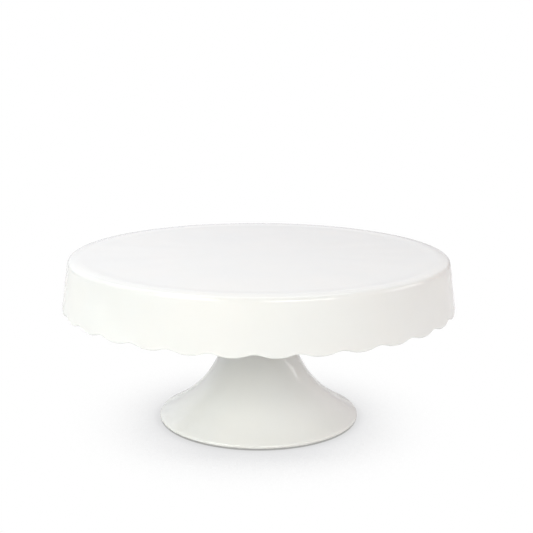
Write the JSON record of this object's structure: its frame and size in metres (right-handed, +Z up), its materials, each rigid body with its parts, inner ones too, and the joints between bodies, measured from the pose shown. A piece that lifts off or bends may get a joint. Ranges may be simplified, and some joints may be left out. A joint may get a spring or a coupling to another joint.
{
  "type": "cake stand",
  "caption": "Round white porcelain cake stand: flat plate with a scalloped drop skirt, clamped to a hollow trumpet pedestal by a winged hand screw from underneath.",
  "frame": {"origin": "on the table under the middle of the foot", "axes": "+Z up along the pedestal's axis, -Y towards the viewer"},
  "size_m": [0.2994, 0.2994, 0.13],
  "materials": {
    "plate_glaze": "gloss",
    "cement": "matte",
    "insert_brass": "satin",
    "gasket_silicone": "satin",
    "pedestal_glaze": "gloss",
    "washer_rubber": "matte",
    "washer_steel": "satin",
    "screw_steel": "satin",
    "knob_plastic": "matte",
    "pad_silicone": "satin"
  },
  "bodies": {
    "base": {"pedestal": "pedestal_glaze", "seat_gasket": "gasket_silicone", "foot_pads": "pad_silicone"},
    "top": {"plate": "plate_glaze", "insert_cement": "cement", "threaded_insert": "insert_brass"},
    "washers": {"rubber_washer": "washer_rubber", "steel_washer": "washer_steel"},
    "clamp_screw": {"screw_shank": "screw_steel", "screw_knob": "knob_plastic"}
  },
  "joints": [
    {"name": "plate_lift", "type": "slide", "parent": "base", "child": "top", "axis": [0, 0, 1], "range_m": [0, 0.06]},
    {"name": "screw_travel", "type": "slide", "parent": "base", "child": "washers", "axis": [0, 0, -1], "range_m": [0, 0.01]},
    {"name": "screw_turn", "type": "hinge", "parent": "washers", "child": "clamp_screw", "pos_m": [0, 0, 0.1046], "axis": [0, 0, -1], "range_deg": [0, 3600]}
  ],
  "couplings": [
    {"joint": "screw_travel", "follows": "screw_turn", "m_per_rad": 0.000159}
  ]
}
